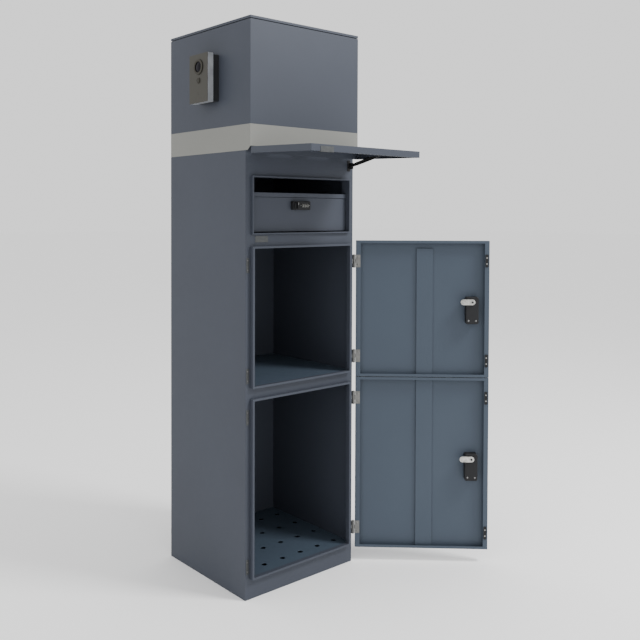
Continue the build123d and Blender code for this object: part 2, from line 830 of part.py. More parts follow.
# ---------------------------------------------------------------- flap stay
# An arm pivots on the frame, and its far end slides in a slotted rail under the flap.
stay_y = frame_front - stay_pivot_out
stay_z = flap_z - stay_pivot_drop
tilt = math.radians(flap_open_angle)
grip_y = flap_y + stay_grip_depth * math.cos(tilt) - stay_grip_open * math.sin(tilt)
grip_z = flap_z - stay_grip_depth * math.sin(tilt) - stay_grip_open * math.cos(tilt)
stay_length = math.hypot(grip_y - stay_y, grip_z - stay_z)
shut_offset = flap_y + stay_grip_depth - stay_y
stay_grip_shut = stay_pivot_drop + math.sqrt(stay_length**2 - shut_offset**2)

stay_play = 0.4
ear_right = flap_half - flap_lip_side - stay_lip_gap
ear_left = ear_right - stay_ear_thickness
arm_right = ear_left - stay_play
arm_left = arm_right - stay_arm_thickness
with BuildPart() as stay_bracket:
    block((ear_left, ear_right), (stay_y - stay_ear_reach, frame_front),
          around(stay_z, stay_ear_half))
    block((ear_right - stay_foot_depth, ear_right), (frame_front - sheet, frame_front),
          around(stay_z, stay_foot_half))
    stud_end = arm_left - stay_play
    rod((stud_end, stay_y, stay_z), (1, 0, 0), stay_pivot_radius, ear_left - stud_end)
    rod((stud_end, stay_y, stay_z), (-1, 0, 0), pivot_head_radius, pivot_head)
save(stay_bracket, "stay_bracket")

arm_plane = Plane(
    origin=(arm_left, stay_y, stay_z),
    x_dir=(0, grip_y - stay_y, grip_z - stay_z),
    z_dir=(1, 0, 0),
)
with BuildPart() as stay_arm:
    with BuildSketch(arm_plane):
        with Locations((stay_length / 2, 0)):
            SlotCenterToCenter(stay_length, stay_arm_width)
        Circle(stay_pivot_radius + running_clearance, mode=Mode.SUBTRACT)
        with Locations((stay_length, 0)):
            Circle(slider_radius, mode=Mode.SUBTRACT)
    extrude(amount=stay_arm_thickness)
save(stay_arm, "stay_arm")

slider_y = flap_y + stay_grip_depth
slider_slack = 0.1
head_thickness = 1.6
rail_right = arm_left - stay_play - head_thickness - 1.0
rail_left = rail_right - sheet
rail_top = flap_z - stay_rail_start
rail_bottom = rail_top - stay_rail_length
slot_middle = flap_z - (stay_grip_open + stay_grip_shut) / 2
slot_run = stay_grip_shut - stay_grip_open + 4
with BuildPart() as stay_rail:
    block((rail_right - 14, rail_right), (front + sheet, front + 2 * sheet),
          (rail_bottom, rail_top))
    block((rail_left, rail_right), (front + sheet, slider_y + 4), (rail_bottom, rail_top))
    with BuildSketch(Plane.YZ.offset(rail_left)):
        with Locations((slider_y, slot_middle)):
            SlotCenterToCenter(slot_run, 2 * (slider_radius + slider_slack), rotation=90)
    extrude(amount=sheet, mode=Mode.SUBTRACT)
save(stay_rail, "stay_rail", open_flap)

slider_z = flap_z - stay_grip_open
with BuildPart() as stay_slider:
    inner = rail_left - stay_play - head_thickness
    outer = rail_right + stay_play
    rod((inner, slider_y, slider_z), (1, 0, 0), slider_radius, outer - inner)
    rod((inner, slider_y, slider_z), (1, 0, 0), slider_head_radius, head_thickness)
    rod((outer, slider_y, slider_z), (1, 0, 0), slider_head_radius, head_thickness)
save(stay_slider, "stay_slider", open_flap)

# ---------------------------------------------------------------- letter compartment
crossbar_front = letter_front - 2.0
crossbar_depth = letter_door_depth
with BuildPart() as letter_crossbar:
    with BuildSketch(Plane.YZ):
        with Locations((crossbar_front + crossbar_depth / 2, crossbar_bottom + crossbar_height / 2)):
            Rectangle(crossbar_depth, crossbar_height)
            Rectangle(crossbar_depth - 2 * sheet, crossbar_height - 2 * sheet, mode=Mode.SUBTRACT)
    extrude(amount=opening - sheet, both=True)
save(letter_crossbar, "letter_crossbar")

with BuildPart() as letter_door_pins:
    for side in (-1, 1):
        start = (side * (opening - sheet), letter_hinge_y, letter_hinge_z)
        rod(start, (-side, 0, 0), letter_pin_radius, letter_pin_length)
save(letter_door_pins, "letter_door_pins")

letter_back = letter_front + letter_door_depth
with BuildPart() as letter_door_panel:
    block(
        around(0, letter_door_half),
        (letter_front, letter_back),
        (letter_door_bottom, letter_door_top),
    )
    block(
        around(0, letter_door_half - sheet),
        (letter_front + sheet, letter_back),
        (letter_door_bottom + sheet, letter_door_top - sheet),
        mode=Mode.SUBTRACT,
    )
    for side in (-1, 1):
        start = (side * letter_door_half, letter_hinge_y, letter_hinge_z)
        bore = letter_pin_radius + running_clearance
        rod(start, (-side, 0, 0), bore, sheet, Mode.SUBTRACT)
    start = (letter_knob_x, letter_front, letter_lock_z)
    rod(start, (0, 1, 0), spindle_radius + 2, sheet, Mode.SUBTRACT)
save(letter_door_panel, "letter_door_panel")

letter_lock_front = letter_front - letter_lock_depth
wheel_y = letter_lock_front + wheel_radius - wheel_show
wheel_middle = letter_lock_offset + letter_lock_width / 2 - 20.0
wheel_middles = [wheel_middle + wheel_pitch * (i - (wheel_count - 1) / 2) for i in range(wheel_count)]
with BuildPart() as letter_lock_housing:
    block(
        around(letter_lock_offset, letter_lock_width / 2),
        (letter_lock_front, letter_front),
        around(letter_lock_z, letter_lock_height / 2),
    )
    fillet(letter_lock_housing.edges().filter_by(Axis.Y), letter_lock_corner)
    chamfer(letter_lock_housing.faces().sort_by(Axis.Y)[0].edges(), 1.0)
    start = (letter_knob_x, letter_lock_front, letter_lock_z)
    rod(start, (0, 1, 0), spindle_bore, letter_lock_depth, Mode.SUBTRACT)
    for x in wheel_middles:
        pocket = wheel_radius + wheel_play
        start = (x - wheel_width / 2 - wheel_play, wheel_y, letter_lock_z)
        rod(start, (1, 0, 0), pocket, wheel_width + 2 * wheel_play, Mode.SUBTRACT)
        rod(start, (1, 0, 0), wheel_bore, wheel_width + 2 * wheel_play)
save(letter_lock_housing, "letter_lock_housing")

for number, x in enumerate(wheel_middles, start=1):
    with BuildPart() as number_wheel:
        with BuildSketch(Plane.YZ.offset(x - wheel_width / 2)):
            with Locations((wheel_y, letter_lock_z)):
                RegularPolygon(wheel_radius, figures, rotation=180 / figures)
                Circle(wheel_bore + running_clearance, mode=Mode.SUBTRACT)
        extrude(amount=wheel_width)
    save(number_wheel, f"number_wheel_{number}")

letter_cam_front = letter_back + cam_gap
letter_cam_thickness = 2.5
with BuildPart() as letter_lock_knob:
    knob_back = letter_lock_front - clearance
    start = (letter_knob_x, knob_back, letter_lock_z)
    rod(start, (0, -1, 0), letter_knob_radius, letter_knob_disc)
    fillet(letter_lock_knob.edges().filter_by(GeomType.CIRCLE), 0.8)
    block(
        around(letter_knob_x, letter_knob_bar_width / 2),
        (knob_back - letter_knob_bar_height, knob_back - 1.0),
        around(letter_lock_z, letter_knob_radius - 1.5),
    )
    rod(start, (0, 1, 0), spindle_radius, letter_cam_front - knob_back)
    tail = (letter_knob_x, letter_cam_front, letter_lock_z)
    rod(tail, (0, 1, 0), spindle_end_radius, letter_cam_thickness + 2.0)
save(letter_lock_knob, "letter_lock_knob")

with BuildPart() as letter_lock_cam:
    run = letter_cam_length - letter_cam_width / 2
    with BuildSketch(Plane.XZ.offset(-letter_cam_front)):
        with Locations((letter_knob_x + run / 2, letter_lock_z)):
            SlotCenterToCenter(run, letter_cam_width)
        with Locations((letter_knob_x, letter_lock_z)):
            Circle(spindle_end_radius, mode=Mode.SUBTRACT)
    extrude(amount=-letter_cam_thickness)
save(letter_lock_cam, "letter_lock_cam")
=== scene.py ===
# %% [markdown]
# # A parcel drop box in powder-coated steel
# The frame holds every folded panel, hinge and lock as a closed solid in metres. This lesson
# leaves those solids where they are, rounds their edges with modifiers, gives each one a
# finish, and adds the small fasteners and marks that only the looks need.

import json
import math

import bmesh
import bpy
from mathutils import Matrix, Vector


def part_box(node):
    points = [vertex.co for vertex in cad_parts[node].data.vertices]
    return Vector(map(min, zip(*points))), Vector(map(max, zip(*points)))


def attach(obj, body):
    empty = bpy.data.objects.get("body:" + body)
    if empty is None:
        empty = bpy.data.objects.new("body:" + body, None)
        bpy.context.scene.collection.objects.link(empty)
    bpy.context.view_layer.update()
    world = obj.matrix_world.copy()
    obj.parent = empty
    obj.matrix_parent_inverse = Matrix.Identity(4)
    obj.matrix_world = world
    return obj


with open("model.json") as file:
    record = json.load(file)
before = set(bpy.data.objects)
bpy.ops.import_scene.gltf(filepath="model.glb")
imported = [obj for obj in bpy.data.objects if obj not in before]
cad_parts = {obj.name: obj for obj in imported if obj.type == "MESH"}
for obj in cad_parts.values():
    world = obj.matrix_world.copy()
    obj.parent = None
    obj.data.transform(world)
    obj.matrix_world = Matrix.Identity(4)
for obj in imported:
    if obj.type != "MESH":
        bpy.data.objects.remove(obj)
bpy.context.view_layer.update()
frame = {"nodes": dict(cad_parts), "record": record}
nodes = frame["nodes"]
MM = 0.001

# %% [markdown]
# The camera comes first, so that every later choice can be judged through it. It stands to the
# left of the box at about chest height, level with the upper locker, and looks almost
# horizontally. A longer lens keeps the tall box from leaning. The frame is shifted, not tilted,
# which keeps the uprights upright, as a product photographer would do with a view camera.

# %% Camera
camera_data = bpy.data.cameras.new("camera")
camera = bpy.data.objects.new("camera", camera_data)
bpy.context.scene.collection.objects.link(camera)
camera_data.lens = 45.364
camera_data.sensor_width = 36.0
camera_data.shift_x = 0.03784
camera_data.shift_y = -0.13846
camera_data.clip_end = 60.0
camera.location = (-1.49604, -1.92038, 1.05166)
camera.rotation_euler = (math.radians(88.7484), math.radians(-0.1619), math.radians(-40.2294))
bpy.context.scene.camera = camera
print("camera at", [round(v, 3) for v in camera.location])

# %% [markdown]
# A plain pale floor that curves up into a backdrop would show its bend in a reflection, so the
# floor here is one large flat sheet and the world itself is the backdrop. Both are nearly
# white, as in a catalogue picture, and the floor is matte so that it mirrors nothing.

# %% Floor
FLOOR_HALF = 40.0
PAPER_WHITE = (0.98, 0.98, 0.98)


def matte_material(name, colour, roughness):
    """A plain matte material, used only for what is not part of the object."""
    material = bpy.data.materials.new(name)
    material.use_nodes = True
    shader = material.node_tree.nodes["Principled BSDF"]
    shader.inputs["Base Color"].default_value = (*colour, 1.0)
    shader.inputs["Roughness"].default_value = roughness
    shader.inputs["Specular IOR Level"].default_value = 0.1
    return material


def link_mesh(name, work, material):
    """Turn a bmesh into an object at the origin and give it its material."""
    mesh = bpy.data.meshes.new(name)
    work.to_mesh(mesh)
    work.free()
    mesh.materials.append(material)
    piece = bpy.data.objects.new(name, mesh)
    bpy.context.scene.collection.objects.link(piece)
    return piece


floor_mesh = bmesh.new()
bmesh.ops.create_grid(floor_mesh, x_segments=1, y_segments=1, size=FLOOR_HALF)
floor = link_mesh("floor", floor_mesh, matte_material("floor_paper", PAPER_WHITE, 0.95))
print("floor", floor.dimensions[:2])

# %% [markdown]
# A white world lights the box evenly from all round and is also its backdrop. A key light
# stands high at the front right, so the front faces are a little brighter than the side, and
# the rims throw a short shadow to the left. A wide, weak light on the left puts a slow fall of
# brightness on the side panel. The lockers stay dark inside, because no light points into them.

# %% Studio light
world = bpy.data.worlds.new("studio")
bpy.context.scene.world = world
world.use_nodes = True
background = world.node_tree.nodes["Background"]
background.inputs["Color"].default_value = (1.0, 1.0, 1.0, 1.0)
background.inputs["Strength"].default_value = 1.25


def soft_light(name, place, target, size, power):
    """A white square area light at place that faces target."""
    data = bpy.data.lights.new(name, "AREA")
    data.shape = "SQUARE"
    data.size = size
    data.energy = power
    light = bpy.data.objects.new(name, data)
    bpy.context.scene.collection.objects.link(light)
    light.location = place
    light.rotation_euler = (Vector(target) - Vector(place)).to_track_quat("-Z", "Y").to_euler()


soft_light("key", (1.5, -2.4, 3.3), (0.0, -0.1, 0.9), size=0.9, power=131.0)
soft_light("side", (-3.2, -0.9, 2.4), (0.0, 0.0, 0.8), size=2.2, power=12.5)
print("lights", len(bpy.data.lights))

# %% [markdown]
# Several finishes share the same small effects, so each effect is a node group that is built
# once. The first gives a fine grain and two kinds of cloudiness, which keep a wide panel from
# looking like one flat colour. The second gives the drawn lines of brushed metal. A group only
# gives out masks and heights, and the shader itself stays in the material.

# %% Shared effects
def new_group(name, inputs, outputs):
    """A shader node group with named sockets, and its input and output nodes."""
    group = bpy.data.node_groups.new(name, "ShaderNodeTree")
    for label, kind, value in inputs:
        socket = group.interface.new_socket(name=label, in_out="INPUT", socket_type=kind)
        if value is not None:
            socket.default_value = value
    for label, kind in outputs:
        group.interface.new_socket(name=label, in_out="OUTPUT", socket_type=kind)
    entry = group.nodes.new("NodeGroupInput")
    leave = group.nodes.new("NodeGroupOutput")
    return group, entry, leave


def add_node(tree, kind, settings=None, **values):
    """A node with its settings and its unlinked socket values."""
    node = tree.nodes.new(kind)
    for key, value in (settings or {}).items():
        setattr(node, key, value)
    for key, value in values.items():
        node.inputs[key.replace("_", " ")].default_value = value
    return node


def noise_at(tree, vector, scale, detail, roughness):
    """A noise texture on the given coordinates, and its factor output."""
    noise = add_node(tree, "ShaderNodeTexNoise", Detail=detail, Roughness=roughness)
    if isinstance(scale, (int, float)):
        noise.inputs["Scale"].default_value = scale
    else:
        tree.links.new(scale, noise.inputs["Scale"])
    tree.links.new(vector, noise.inputs["Vector"])
    return noise.outputs["Fac"]


def build_powder_group():
    """Powder coat: a height for the orange peel, a slow cloudiness and a finer one."""
    sockets = [
        ("Vector", "NodeSocketVector", None),
        ("Peel", "NodeSocketFloat", 420.0),
        ("Cloud", "NodeSocketFloat", 2.2),
    ]
    outputs = [(label, "NodeSocketFloat") for label in ("Height", "Cloud", "Fine")]
    group, entry, leave = new_group("powder_coat", sockets, outputs)
    vector = entry.outputs["Vector"]
    peel = noise_at(group, vector, entry.outputs["Peel"], 2.0, 0.5)
    cloud = noise_at(group, vector, entry.outputs["Cloud"], 4.0, 0.6)
    fine = noise_at(group, vector, 36.0, 5.0, 0.65)
    group.links.new(peel, leave.inputs["Height"])
    group.links.new(cloud, leave.inputs["Cloud"])
    group.links.new(fine, leave.inputs["Fine"])
    return group


def build_brush_group():
    """Brushed metal: noise stretched along one direction, so that it reads as drawn lines."""
    sockets = [
        ("Vector", "NodeSocketVector", None),
        ("Stretch", "NodeSocketVector", (1.0, 60.0, 1.0)),
        ("Scale", "NodeSocketFloat", 60.0),
    ]
    outputs = [("Lines", "NodeSocketFloat")]
    group, entry, leave = new_group("brushed_lines", sockets, outputs)
    stretch = add_node(group, "ShaderNodeVectorMath", {"operation": "MULTIPLY"})
    group.links.new(entry.outputs["Vector"], stretch.inputs[0])
    group.links.new(entry.outputs["Stretch"], stretch.inputs[1])
    lines = noise_at(group, stretch.outputs["Vector"], entry.outputs["Scale"], 3.0, 0.6)
    group.links.new(lines, leave.inputs["Lines"])
    return group


powder_group = build_powder_group()
brush_group = build_brush_group()
print("groups", [group.name for group in bpy.data.node_groups])

# %% [markdown]
# Every finish starts from the same few lines: a Principled shader, the object's own coordinates,
# and one group. One mask moves the colour a little, one moves the roughness, and a height gives
# the grain. Keeping these in short makers means that a finish is described by its colour and its
# roughness, and the wiring is written once.

# %% Material makers
# Noise rarely leaves this part of its range, so the masks are spread over it.
MASK_LOW, MASK_HIGH = 0.3, 0.7


def start_material(name):
    """An empty material with a Principled shader, its coordinates and its tree."""
    material = bpy.data.materials.new(name)
    material.use_nodes = True
    tree = material.node_tree
    shader = tree.nodes["Principled BSDF"]
    coordinates = tree.nodes.new("ShaderNodeTexCoord")
    return material, tree, shader, coordinates.outputs["Object"]


def place_group(tree, group, vector, **values):
    """Put a shared effect in a material and feed it the coordinates."""
    node = tree.nodes.new("ShaderNodeGroup")
    node.node_tree = group
    tree.links.new(vector, node.inputs["Vector"])
    for key, value in values.items():
        node.inputs[key].default_value = value
    return node


def blend_colours(tree, factor, low, high):
    """A colour that goes from low to high as the mask goes over its range."""
    ramp = tree.nodes.new("ShaderNodeValToRGB")
    ends = ((MASK_LOW, low), (MASK_HIGH, high))
    for element, (position, colour) in zip(ramp.color_ramp.elements, ends):
        element.position = position
        element.color = (*colour, 1.0)
    tree.links.new(factor, ramp.inputs["Fac"])
    return ramp.outputs["Color"]


def spread_value(tree, factor, low, high):
    """A number that goes from low to high as the mask goes over its range."""
    spread = add_node(
        tree, "ShaderNodeMapRange", From_Min=MASK_LOW, From_Max=MASK_HIGH, To_Min=low, To_Max=high
    )
    tree.links.new(factor, spread.inputs["Value"])
    return spread.outputs["Result"]


def shifted(colour, amount):
    """The colour made lighter or darker by a share of itself."""
    return tuple(channel * (1.0 + amount) for channel in colour)


def varied(tree, mask, colour, variation):
    """A colour that the mask makes darker and lighter by a share of itself."""
    return blend_colours(tree, mask, shifted(colour, -variation), shifted(colour, variation))


def wire_finish(tree, shader, tone, rough_mask, rough_range, height, strength, depth):
    """Feed a colour, a roughness and a grain of depth millimetres into the shader."""
    tree.links.new(tone, shader.inputs["Base Color"])
    rough = spread_value(tree, rough_mask, *rough_range)
    tree.links.new(rough, shader.inputs["Roughness"])
    bump = add_node(tree, "ShaderNodeBump", Strength=strength, Distance=depth * MM)
    tree.links.new(height, bump.inputs["Height"])
    tree.links.new(bump.outputs["Normal"], shader.inputs["Normal"])


def grained(tree, shader, effect, colour, variation, rough_range, strength, depth):
    """Wire a finish to the three outputs of the powder coat group."""
    tone = varied(tree, effect.outputs["Cloud"], colour, variation)
    wire_finish(
        tree, shader, tone, effect.outputs["Fine"], rough_range, effect.outputs["Height"],
        strength, depth,
    )


def powder_coat(name, colour, roughness=0.5, variation=0.05):
    """Sprayed and baked paint on sheet steel, with a faint orange peel."""
    material, tree, shader, vector = start_material(name)
    shader.inputs["Specular IOR Level"].default_value = 0.22
    effect = place_group(tree, powder_group, vector)
    rough_range = (roughness - 0.025, roughness + 0.03)
    grained(tree, shader, effect, colour, variation, rough_range, strength=0.10, depth=0.4)
    return material


def moulded_plastic(name, colour, roughness=0.5, strength=0.18):
    """Moulded plastic with a fine spark-eroded texture."""
    material, tree, shader, vector = start_material(name)
    shader.inputs["Specular IOR Level"].default_value = 0.14
    effect = place_group(tree, powder_group, vector, Peel=1600.0, Cloud=18.0)
    rough_range = (roughness - 0.06, roughness + 0.08)
    grained(tree, shader, effect, colour, 0.12, rough_range, strength, depth=0.15)
    return material


def plated_metal(name, colour, roughness, spots=90.0, variation=0.12):
    """Zinc-plated or cast metal, with the soft mottling that plating leaves."""
    material, tree, shader, vector = start_material(name)
    shader.inputs["Metallic"].default_value = 1.0
    effect = place_group(tree, powder_group, vector, Peel=900.0, Cloud=spots)
    rough_range = (roughness - 0.06, roughness + 0.10)
    grained(tree, shader, effect, colour, variation, rough_range, strength=0.08, depth=0.1)
    return material


def brushed_metal(name, colour, roughness):
    """Metal with lines drawn from top to bottom."""
    material, tree, shader, vector = start_material(name)
    shader.inputs["Metallic"].default_value = 1.0
    lines = place_group(tree, brush_group, vector).outputs["Lines"]
    tone = varied(tree, lines, colour, 0.10)
    rough_range = (roughness - 0.07, roughness + 0.09)
    wire_finish(tree, shader, tone, lines, rough_range, lines, strength=0.12, depth=0.1)
    return material


# %% [markdown]
# The box itself is one charcoal powder coat with a breath of blue. The doors carry a bluer copy
# of it, and that extra blue is painted light, the cool tint of the sky light that falls on them.
# The shelf and the floor pan have a blue in between, and the band is a warm light grey. Hinges,
# strikes and screws are zinc plated. The locks and the stay are black.

# %% Finishes
body_paint = powder_coat("body_paint", (0.0450, 0.0515, 0.0675))
# The doors' extra blue over the body paint is painted light: the tint of the sky light on them.
door_paint = powder_coat("door_paint", (0.0515, 0.0675, 0.0910))
inner_paint = powder_coat("inner_paint", (0.0480, 0.0660, 0.0890))
band_paint = powder_coat("band_paint", (0.190, 0.192, 0.178), roughness=0.46, variation=0.03)
black_paint = powder_coat("black_paint", (0.012, 0.012, 0.013), roughness=0.4, variation=0.2)
zinc = plated_metal("zinc", (0.176, 0.176, 0.171), 0.46)
dull_zinc = plated_metal("dull_zinc", (0.090, 0.094, 0.096), 0.5, spots=140.0)
bright_steel = plated_metal("bright_steel", (0.430, 0.428, 0.410), 0.28, 120.0, variation=0.35)
plain_steel = plated_metal("plain_steel", (0.224, 0.224, 0.224), 0.4)
black_plastic = moulded_plastic("black_plastic", (0.0170, 0.0174, 0.0186))
dark_plastic = moulded_plastic("dark_plastic", (0.0190, 0.0200, 0.0215), 0.55)
grip_rubber = moulded_plastic("grip_rubber", (0.0140, 0.0140, 0.0145), 0.7, strength=0.3)
wheel_plastic = moulded_plastic("wheel_plastic", (0.145, 0.145, 0.137), 0.45)
mark_white = moulded_plastic("mark_white", (0.60, 0.60, 0.58), 0.5)
# This black serves for print, and also as painted shade in screw recesses and microphone holes.
black_print_and_shade = moulded_plastic("black_print_and_shade", (0.012, 0.012, 0.012), 0.5)
magnet_grey = moulded_plastic("magnet_grey", (0.26, 0.26, 0.255), 0.5)
print("finishes", len(bpy.data.materials))

# %% [markdown]
# Glass over a camera is black because there is a dark barrel behind it. A dark base with a thin
# clear coat gives the same deep gloss, and it bakes cleanly, which real refraction would not.
# The coat is weak, as on glass that is treated against reflections.

# %% Camera glass
def dark_glass(name):
    """A deep black gloss like a lens cover, with a faint coloured coating."""
    material, tree, shader, vector = start_material(name)
    clouds = place_group(tree, powder_group, vector, Cloud=80.0).outputs["Cloud"]
    tone = blend_colours(tree, clouds, (0.003, 0.003, 0.005), (0.007, 0.006, 0.010))
    tree.links.new(tone, shader.inputs["Base Color"])
    shader.inputs["Roughness"].default_value = 0.12
    shader.inputs["Specular IOR Level"].default_value = 0.07
    shader.inputs["Coat Weight"].default_value = 0.02
    shader.inputs["Coat Roughness"].default_value = 0.03
    return material


lens_glass = dark_glass("lens_glass")
print("glass", lens_glass.name)

# %% [markdown]
# The intercom's plate is one bent piece of aluminium. Its face is anodised in a warm grey and
# brushed from top to bottom, and its cut sides are left bright. Both finishes belong to one
# solid, so a mask on the object's X coordinate chooses between them at the edge of the face.

# %% Two-tone intercom plate
def face_and_edge_metal(name, face_x, face_colour, edge_colour):
    """Brushed metal with one colour beyond face_x, towards -X, and another behind it."""
    material, tree, shader, vector = start_material(name)
    shader.inputs["Metallic"].default_value = 0.85
    lines = place_group(tree, brush_group, vector).outputs["Lines"]
    split = tree.nodes.new("ShaderNodeSeparateXYZ")
    tree.links.new(vector, split.inputs["Vector"])
    mask = add_node(tree, "ShaderNodeMath", {"operation": "LESS_THAN"})
    mask.inputs[1].default_value = face_x
    tree.links.new(split.outputs["X"], mask.inputs[0])
    mix = add_node(tree, "ShaderNodeMix", {"data_type": "RGBA"})
    tree.links.new(mask.outputs["Value"], mix.inputs["Factor"])
    tree.links.new(varied(tree, lines, edge_colour, 0.08), mix.inputs["A"])
    tree.links.new(varied(tree, lines, face_colour, 0.10), mix.inputs["B"])
    tone = mix.outputs["Result"]
    wire_finish(tree, shader, tone, lines, (0.36, 0.50), lines, strength=0.10, depth=0.1)
    return material


FACE_DEPTH = 0.9 * MM
plate_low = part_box("intercom_faceplate")[0]
intercom_metal = face_and_edge_metal(
    "intercom_metal", plate_low[0] + FACE_DEPTH, (0.062, 0.060, 0.052), (0.55, 0.57, 0.59)
)
champagne = brushed_metal("champagne", (0.054, 0.051, 0.043), 0.42)
print("plate face at x", round(plate_low[0], 4))

# %% [markdown]
# The frame's solids arrive as loose triangles with sharp edges. A Weld modifier joins them and
# a Bevel modifier rounds what is sharper than a fold, so light catches every edge of the sheet
# metal. A Weighted Normal modifier then keeps the wide faces flat to the eye, so only the
# rounded edges carry a highlight. The meshes stay as they are, and the modifiers do the work.

# %% Dress the frame's nodes
FOLD_RADIUS = 0.45 * MM
WELD_REACH = 0.01 * MM
SHARP_ANGLE = math.radians(35.0)


def dress(names, material, radius=FOLD_RADIUS, segments=2):
    """Give nodes their finish and rounded edges."""
    for name in names:
        node = nodes[name]
        node.data.materials.clear()
        node.data.materials.append(material)
        node.data.polygons.foreach_set("use_smooth", [True] * len(node.data.polygons))
        weld = node.modifiers.new("weld", "WELD")
        weld.merge_threshold = WELD_REACH
        bevel = node.modifiers.new("bevel", "BEVEL")
        bevel.width = radius
        bevel.segments = segments
        bevel.limit_method = "ANGLE"
        bevel.angle_limit = SHARP_ANGLE
        face_normals = node.modifiers.new("face_normals", "WEIGHTED_NORMAL")
        face_normals.keep_sharp = False


shell = """left_side_panel right_side_panel back_panel front_frame base_plate letter_floor
lower_opening_rim upper_opening_rim letter_opening_rim top_deck top_housing roof_panel
flap_hinge_rail flap_panel stay_rail letter_crossbar letter_door_panel""".split()
dress(shell, body_paint)
dress(["floor_pan", "middle_shelf"], inner_paint)
for side in ("lower", "upper"):
    dress([f"{side}_door_panel", f"{side}_door_stiffener"], door_paint)
    dress([f"{side}_door_hinge_leaves"], zinc, 0.2 * MM)
    dress([f"{side}_door_catches"], black_plastic, 0.3 * MM)
    dress([f"{side}_lock_case", f"{side}_lock_escutcheon", f"{side}_lock_knob"], black_plastic)
    dress([f"{side}_lock_dial"], plain_steel, 0.3 * MM)
    dress([f"{side}_lock_cam"], bright_steel, 0.4 * MM, 3)
dress(["trim_band"], band_paint)
dress(["strike_plates", "flap_catch"], dull_zinc, 0.25 * MM)
dress(["door_hinge_fixed_leaves", "door_hinge_pins"], zinc, 0.2 * MM)
dress(["flap_hinge_fixed_leaves", "flap_hinge_leaves", "flap_hinge_pins"], zinc, 0.15 * MM)
dress(["stay_bracket", "stay_arm"], black_paint, 0.3 * MM)
dress(["stay_slider", "letter_door_pins"], plain_steel, 0.15 * MM)
dress(["letter_lock_housing", "letter_lock_knob"], black_plastic)
dress(["letter_lock_cam"], bright_steel, 0.3 * MM)
dress([f"number_wheel_{i}" for i in (1, 2, 3)], wheel_plastic, 0.25 * MM)
dress(["intercom_body"], dark_plastic, 0.8 * MM, 3)
dress(["intercom_faceplate"], intercom_metal, 0.6 * MM, 3)
dress(["camera_bezel", "call_button"], champagne, 0.3 * MM)
dress(["camera_lens"], lens_glass, 0.2 * MM)
undressed = [name for name, node in nodes.items() if "weld" not in node.modifiers]
print("dressed", len(nodes) - len(undressed), "left", undressed)

# %% [markdown]
# The folded sheets are held by small fasteners. A turned part is quick to make as a lathe would
# make it: half of its outline is drawn once and spun round its axis. Pieces on a door are easiest
# to place with the door shut, where every face is square to the axes, so a helper then swings
# them open about the same hinge as the door.

# %% Helpers for small pieces
SAME_POINT = 0.001 * MM
joints = {joint["name"]: joint for joint in frame["record"]["behaviour"]["joints"]}


def swing_open(joint_name):
    """The turn that takes a piece from its shut place to where its body stands at rest."""
    joint = joints[joint_name]
    point = Vector(joint["pos_m"])
    turn = Matrix.Rotation(-math.radians(joint["range_deg"][0]), 4, Vector(joint["axis"]))
    return Matrix.Translation(point) @ turn @ Matrix.Translation(-point)


def join_into(work, part, matrix):
    """Place a small bmesh by a matrix and add it to a larger one."""
    bmesh.ops.transform(part, matrix=matrix, verts=part.verts)
    scrap = bpy.data.meshes.new("scrap")
    part.to_mesh(scrap)
    part.free()
    work.from_mesh(scrap)
    bpy.data.meshes.remove(scrap)


def facing(place, direction):
    """A matrix that sets local +Z along direction, with the origin at place."""
    turn = Vector((0.0, 0.0, 1.0)).rotation_difference(Vector(direction))
    return Matrix.Translation(place) @ turn.to_matrix().to_4x4()


def turned(work, profile, matrix, steps=20):
    """Spin an outline of (radius, height) points, both in millimetres, into a closed part."""
    part = bmesh.new()
    points = [part.verts.new((radius * MM, 0.0, height * MM)) for radius, height in profile]
    edges = [part.edges.new(pair) for pair in zip(points, points[1:])]
    bmesh.ops.spin(
        part, geom=points + edges, cent=(0, 0, 0), axis=(0, 0, 1), angle=2 * math.pi,
        steps=steps, use_merge=True,
    )
    bmesh.ops.remove_doubles(part, verts=part.verts, dist=SAME_POINT)
    bmesh.ops.recalc_face_normals(part, faces=part.faces)
    join_into(work, part, matrix)


def fit_piece(name, work, material, body, smooth=True):
    """Turn finished mesh work into a piece that rides on a body."""
    piece = link_mesh(name, work, material)
    piece.data.polygons.foreach_set("use_smooth", [smooth] * len(piece.data.polygons))
    if smooth:
        corners = piece.modifiers.new("face_normals", "WEIGHTED_NORMAL")
        corners.keep_sharp = False
    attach(piece, body)


BACKWARD, FORWARD, LEFTWARD, RIGHTWARD = (0, 1, 0), (0, -1, 0), (-1, 0, 0), (1, 0, 0)
RIVET = [(0.0, 0.85), (1.1, 0.80), (2.0, 0.62), (2.55, 0.32), (2.7, 0.0), (2.7, -0.3), (0.0, -0.3)]
for name in ("lower_door_hinge", "flap_hinge"):
    print(name, [round(v, 3) for v in joints[name]["pos_m"]], joints[name]["range_deg"])

# %% [markdown]
# Each hinge leaf is riveted through two holes. The moving leaf lies behind the door's lip, and
# the fixed leaf wraps onto the cabinet's side. Both sit at the same height, so one list of
# heights, measured from the frame's own leaves, serves for all of them.

# %% Hinge rivets
HALF_HEIGHT = 19.0 * MM  # of a hinge leaf, and of a catch
MOVING_LEAF = (193.0 * MM, -181.5 * MM)  # x and y of its middle, with the door shut
FIXED_LEAF_Y = -168.5 * MM
RIVET_STEPS = (-11.0 * MM, 11.0 * MM)


def inset_levels(name):
    """The heights of the middles of the lower and the upper piece that share a node."""
    low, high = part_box(name)
    return low[2] + HALF_HEIGHT, high[2] - HALF_HEIGHT


hinge_levels = []
for side in ("lower", "upper"):
    levels = inset_levels(f"{side}_door_hinge_leaves")
    hinge_levels.extend(levels)
    door = swing_open(f"{side}_door_hinge")
    work = bmesh.new()
    for level in levels:
        for step in RIVET_STEPS:
            turned(work, RIVET, door @ facing((*MOVING_LEAF, level + step), BACKWARD))
    fit_piece(f"{side}_leaf_rivets", work, zinc, f"{side}_door")

